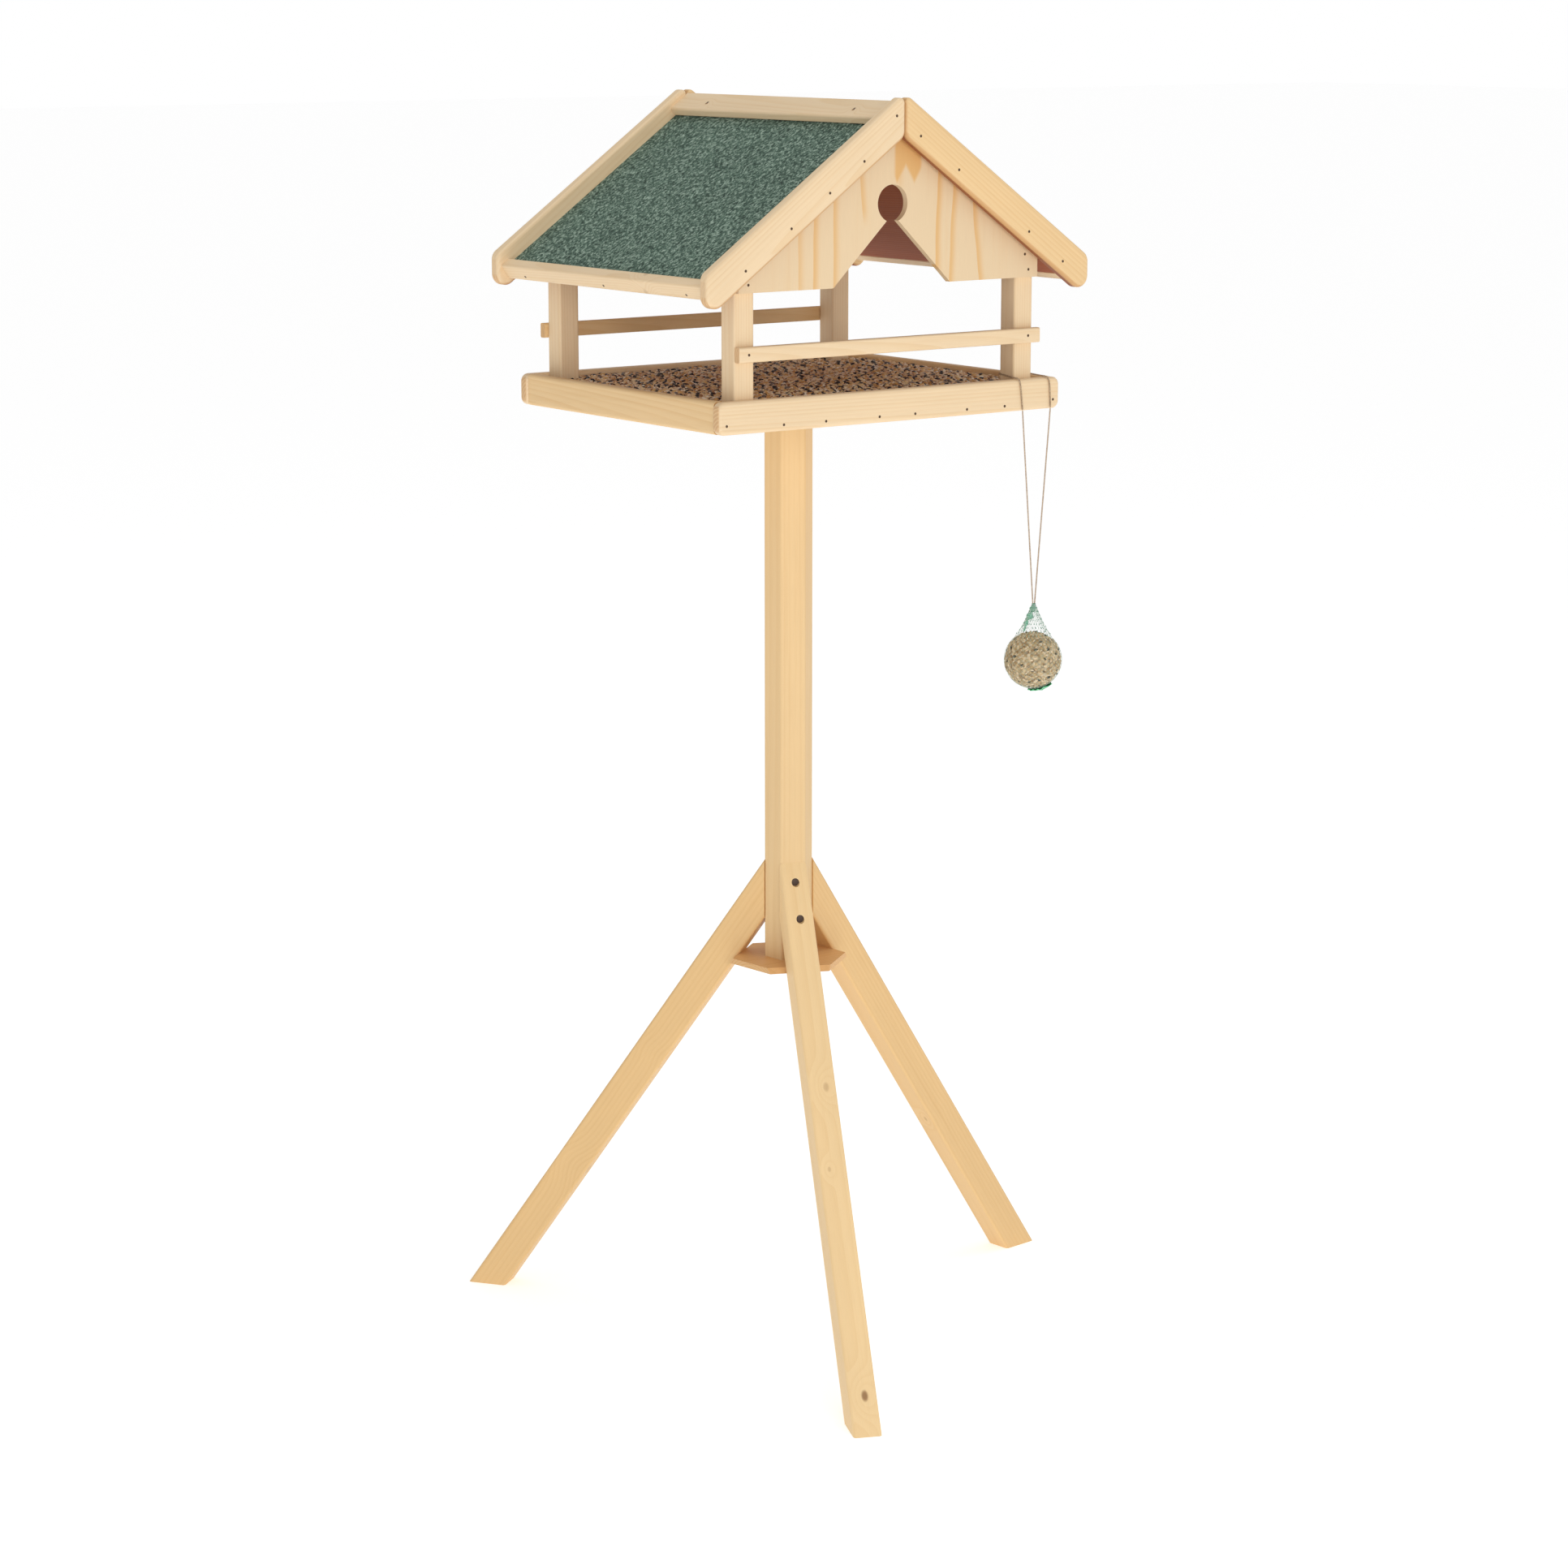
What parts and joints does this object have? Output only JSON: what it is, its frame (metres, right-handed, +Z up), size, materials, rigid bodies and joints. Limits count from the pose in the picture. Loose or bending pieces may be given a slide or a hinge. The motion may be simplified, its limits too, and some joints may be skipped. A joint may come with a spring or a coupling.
{
  "type": "bird feeder on pole",
  "caption": "Roofed wooden bird feeding tray with felted gable roof on a hexagonal pole with splayed legs, and a netted fat ball that swings from a loop of twine.",
  "frame": {"origin": "on the ground under the axis of the pole", "axes": "+Z up along the pole, +X along the front of the tray to the right, +Y from the front to the back"},
  "size_m": [0.6222, 0.6637, 1.338],
  "materials": {
    "stand_wood": "planed pine, lightly varnished",
    "house_wood": "planed pine, lightly varnished",
    "gable_wood": "softwood plywood with wide grain",
    "roof_board": "board stained dark brown",
    "floor_board": "plywood",
    "roof_felt": "green mineral roofing felt",
    "screw": "dark brown-grey plated",
    "nail": "dull brown",
    "seed": "mixed seed",
    "feed_fat": "pressed fat and seed",
    "net": "knotted green net",
    "twine": "twisted twine"
  },
  "bodies": {
    "feeder": {"barge_back_left": "house_wood", "barge_back_right": "house_wood", "barge_front_left": "house_wood", "barge_front_right": "house_wood", "barge_nails": "nail", "eaves_batten_left": "house_wood", "eaves_batten_right": "house_wood", "eaves_nails": "nail", "gable_back": "gable_wood", "gable_front": "gable_wood", "gable_nails": "nail", "leg_front": "stand_wood", "leg_left": "stand_wood", "leg_right": "stand_wood", "leg_screws": "screw", "plate_screw": "screw", "pole": "stand_wood", "post_back_left": "house_wood", "post_back_right": "house_wood", "post_front_left": "house_wood", "post_front_right": "house_wood", "rail_back": "house_wood", "rail_front": "house_wood", "rail_nails": "nail", "ridge_batten_left": "house_wood", "ridge_batten_right": "house_wood", "ridge_nails": "nail", "rim_back": "house_wood", "rim_front": "house_wood", "rim_left": "house_wood", "rim_nails": "nail", "rim_right": "house_wood", "roof_felt_left": "roof_felt", "roof_felt_right": "roof_felt", "roof_panel_left": "roof_board", "roof_panel_right": "roof_board", "seed_bed": "seed", "spacer_plate": "stand_wood", "tray_floor": "floor_board", "tray_screws": "screw", "twine_wrap": "twine"},
    "hanging_feed": {"feed_ball": "feed_fat", "ball_net": "net", "twine_left": "twine", "twine_right": "twine"}
  },
  "joints": [
    {"name": "feed_swing", "type": "hinge", "parent": "feeder", "child": "hanging_feed", "pos_m": [0.1875, -0.1842, 1.013], "axis": [1, 0, 0], "range_deg": [-40, 40]}
  ]
}
